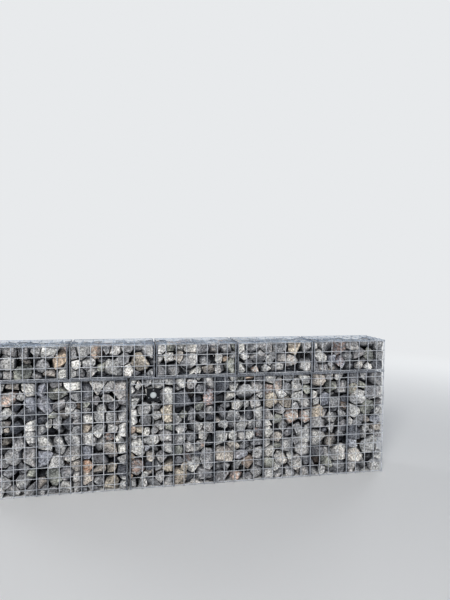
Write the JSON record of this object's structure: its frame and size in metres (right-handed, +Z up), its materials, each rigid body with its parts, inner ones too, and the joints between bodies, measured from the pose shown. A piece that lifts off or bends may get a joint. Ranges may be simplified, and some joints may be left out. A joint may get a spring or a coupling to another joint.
{
  "type": "gabion wall",
  "caption": "Low gabion wall in two courses: welded mesh baskets filled with broken stone, closed with mesh lids, with a small square lamp on its front.",
  "frame": {"origin": "on the ground, in the middle of the whole footprint, lamp included", "axes": "+X along the wall to the right, +Y from the front face to the back, +Z up"},
  "size_m": [3.0224, 0.3338, 1.0699],
  "materials": {
    "galvanised_wire": "dull hot-dip galvanised wire, lightly weathered",
    "stone": "broken limestone and granite in greys, with cream, rust and slate pieces",
    "lamp_black": "satin black powder coat",
    "frosted_lens": "frosted white diffuser",
    "screw_steel": "plain stainless screw heads"
  },
  "bodies": {
    "root": {"lamp_housing": "lamp_black", "lamp_lens": "frosted_lens", "lamp_screws": "screw_steel", "lower_left_back_mesh": "galvanised_wire", "lower_left_base_mesh": "galvanised_wire", "lower_left_end_mesh": "galvanised_wire", "lower_left_front_mesh": "galvanised_wire", "lower_left_lid_mesh": "galvanised_wire", "lower_left_partitions": "galvanised_wire", "lower_left_stone_fill": "stone", "lower_right_back_mesh": "galvanised_wire", "lower_right_base_mesh": "galvanised_wire", "lower_right_end_mesh": "galvanised_wire", "lower_right_front_mesh": "galvanised_wire", "lower_right_lid_mesh": "galvanised_wire", "lower_right_partitions": "galvanised_wire", "lower_right_stone_fill": "stone", "upper_1_back_mesh": "galvanised_wire", "upper_1_front_mesh": "galvanised_wire", "upper_1_lid_mesh": "galvanised_wire", "upper_1_stone_fill": "stone", "upper_2_back_mesh": "galvanised_wire", "upper_2_front_mesh": "galvanised_wire", "upper_2_lid_mesh": "galvanised_wire", "upper_2_stone_fill": "stone", "upper_3_back_mesh": "galvanised_wire", "upper_3_front_mesh": "galvanised_wire", "upper_3_lid_mesh": "galvanised_wire", "upper_3_stone_fill": "stone", "upper_4_back_mesh": "galvanised_wire", "upper_4_front_mesh": "galvanised_wire", "upper_4_lid_mesh": "galvanised_wire", "upper_4_stone_fill": "stone", "upper_5_back_mesh": "galvanised_wire", "upper_5_front_mesh": "galvanised_wire", "upper_5_lid_mesh": "galvanised_wire", "upper_5_stone_fill": "stone", "upper_base_meshes": "galvanised_wire", "upper_left_end_mesh": "galvanised_wire", "upper_right_end_mesh": "galvanised_wire", "upper_seam_ends": "galvanised_wire"}
  },
  "joints": []
}
